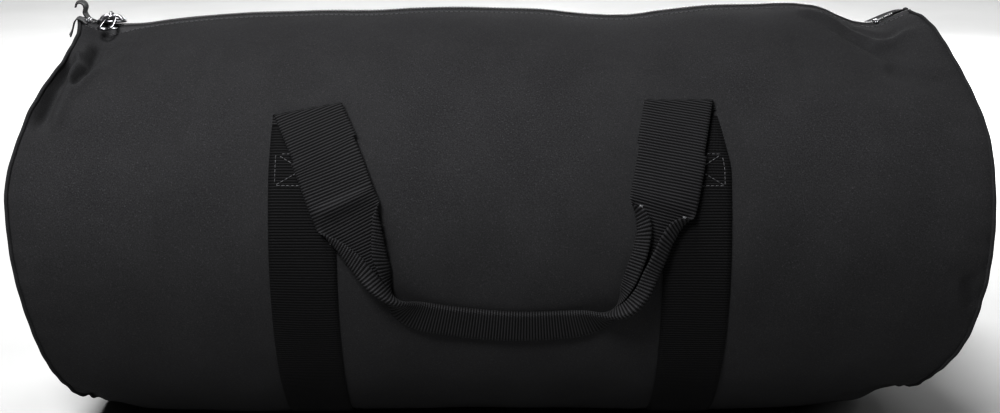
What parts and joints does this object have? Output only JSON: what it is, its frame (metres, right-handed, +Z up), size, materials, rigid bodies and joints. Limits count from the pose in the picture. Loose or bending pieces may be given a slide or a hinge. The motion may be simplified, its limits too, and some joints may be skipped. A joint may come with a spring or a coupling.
{
  "type": "duffel bag",
  "caption": "Barrel duffel bag of dark canvas with a full-length top zipper and webbing carry handles on straps that run round the barrel.",
  "frame": {"origin": "on the ground under the middle of the bag", "axes": "+X along the bag to the end away from the zipper's start, -Y is the front, +Z up"},
  "size_m": [0.75, 0.334, 0.341],
  "materials": {
    "canvas": "matte plain weave",
    "webbing": "ribbed woven webbing",
    "piping": "matte",
    "thread": "satin thread",
    "zipper_tape": "fine twill",
    "zipper_coil": "satin",
    "zipper_metal": "gunmetal"
  },
  "bodies": {
    "bag": {"body_panel": "canvas", "end_panel_left": "canvas", "end_panel_right": "canvas", "piping_left": "piping", "piping_right": "piping", "strap_left": "webbing", "strap_right": "webbing", "box_stitches": "thread", "zip_end_left": "zipper_tape", "zip_end_right": "zipper_tape", "zip_stop_left": "zipper_metal", "zip_stop_right": "zipper_metal", "front_tape_tail": "zipper_tape", "back_tape_tail": "zipper_tape"},
    "front_flap": {"front_lip": "canvas", "front_tape": "zipper_tape", "front_coil": "zipper_coil"},
    "back_flap": {"back_lip": "canvas", "back_tape": "zipper_tape", "back_coil": "zipper_coil"},
    "slider": {"slider_body": "zipper_metal", "slider_bridge": "zipper_metal"},
    "pull": {"zip_pull": "zipper_metal"},
    "front_grab": {"front_handle": "webbing", "front_bartacks": "thread"},
    "back_grab": {"back_handle": "webbing", "back_bartacks": "thread"}
  },
  "joints": [
    {"name": "front_flap_open", "type": "hinge", "parent": "bag", "child": "front_flap", "pos_m": [0, -0.08133, 0.30286], "axis": [1, 0, 0], "range_deg": [0, 60]},
    {"name": "back_flap_open", "type": "hinge", "parent": "bag", "child": "back_flap", "pos_m": [0, 0.08133, 0.30286], "axis": [-1, 0, 0], "range_deg": [0, 60]},
    {"name": "zip_slide", "type": "slide", "parent": "bag", "child": "slider", "axis": [1, 0, 0], "range_m": [-0.004, 0.616]},
    {"name": "pull_swing", "type": "hinge", "parent": "slider", "child": "pull", "pos_m": [-0.321, 0, 0.3298], "axis": [-1, 0, 0], "range_deg": [0, 154]},
    {"name": "front_handle_lift", "type": "hinge", "parent": "bag", "child": "front_grab", "pos_m": [0, -0.12097, 0.2744], "axis": [-1, 0, 0], "range_deg": [0, 175]},
    {"name": "back_handle_lift", "type": "hinge", "parent": "bag", "child": "back_grab", "pos_m": [0, 0.12097, 0.2744], "axis": [1, 0, 0], "range_deg": [0, 175]}
  ]
}
